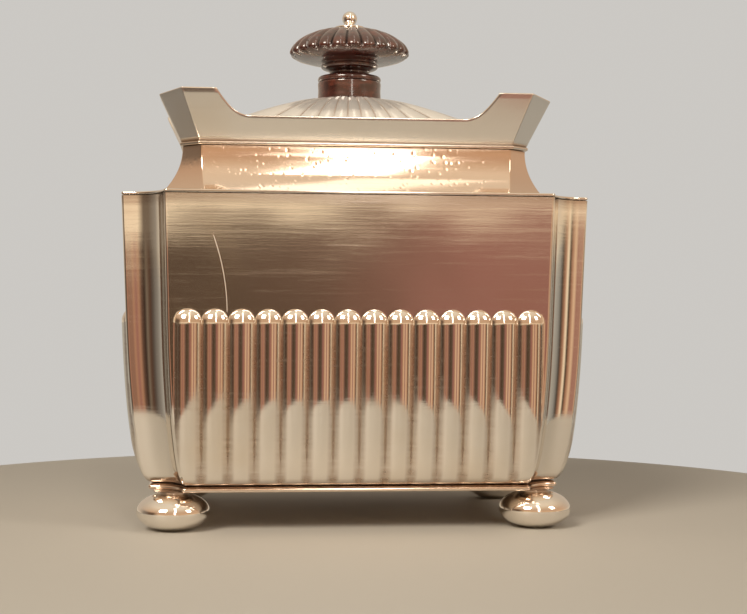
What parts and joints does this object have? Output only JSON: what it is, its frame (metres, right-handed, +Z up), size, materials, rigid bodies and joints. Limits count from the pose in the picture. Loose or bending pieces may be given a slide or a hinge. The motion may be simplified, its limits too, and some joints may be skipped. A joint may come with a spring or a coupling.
{
  "type": "silver sugar box",
  "caption": "Rectangular footed silver sugar box with fluted sides, flared cut-away gallery and hinged domed lid with a turned wood knob.",
  "frame": {"origin": "on the table under the centre of the box, at the bottom of the feet", "axes": "+Z up, the front with the long fluted side faces -Y, the lid's hinge is at the +Y side, +X to the right seen from the front"},
  "size_m": [0.1082, 0.0762, 0.125],
  "materials": {
    "silver": "polished silver with fine rubbing scratches",
    "knob_wood": "dark red-brown, polished"
  },
  "bodies": {
    "bowl": {"front_panel": "silver", "rear_panel": "silver", "left_panel": "silver", "right_panel": "silver", "corner_front_left": "silver", "corner_front_right": "silver", "corner_rear_left": "silver", "corner_rear_right": "silver", "base_moulding": "silver", "base_plate": "silver", "foot_front_left": "silver", "foot_front_right": "silver", "foot_rear_left": "silver", "foot_rear_right": "silver", "shoulder_plate": "silver", "neck": "silver", "lid_seat": "silver", "gallery": "silver", "hinge_knuckle_seat_left": "silver", "hinge_knuckle_seat_middle": "silver", "hinge_knuckle_seat_right": "silver", "hinge_pin": "silver"},
    "lid": {"lid_rim": "silver", "lid_flange": "silver", "lid_dome": "silver", "hinge_knuckle_lid_left": "silver", "hinge_knuckle_lid_right": "silver", "knob_collar": "knob_wood", "knob_cap": "knob_wood", "knob_washer": "silver", "finial_screw": "silver", "lid_washer": "silver", "lid_nut": "silver"}
  },
  "joints": [
    {"name": "lid_hinge", "type": "hinge", "parent": "bowl", "child": "lid", "pos_m": [0, 0.0229, 0.0915], "axis": [-1, 0, 0], "range_deg": [0, 95]}
  ]
}
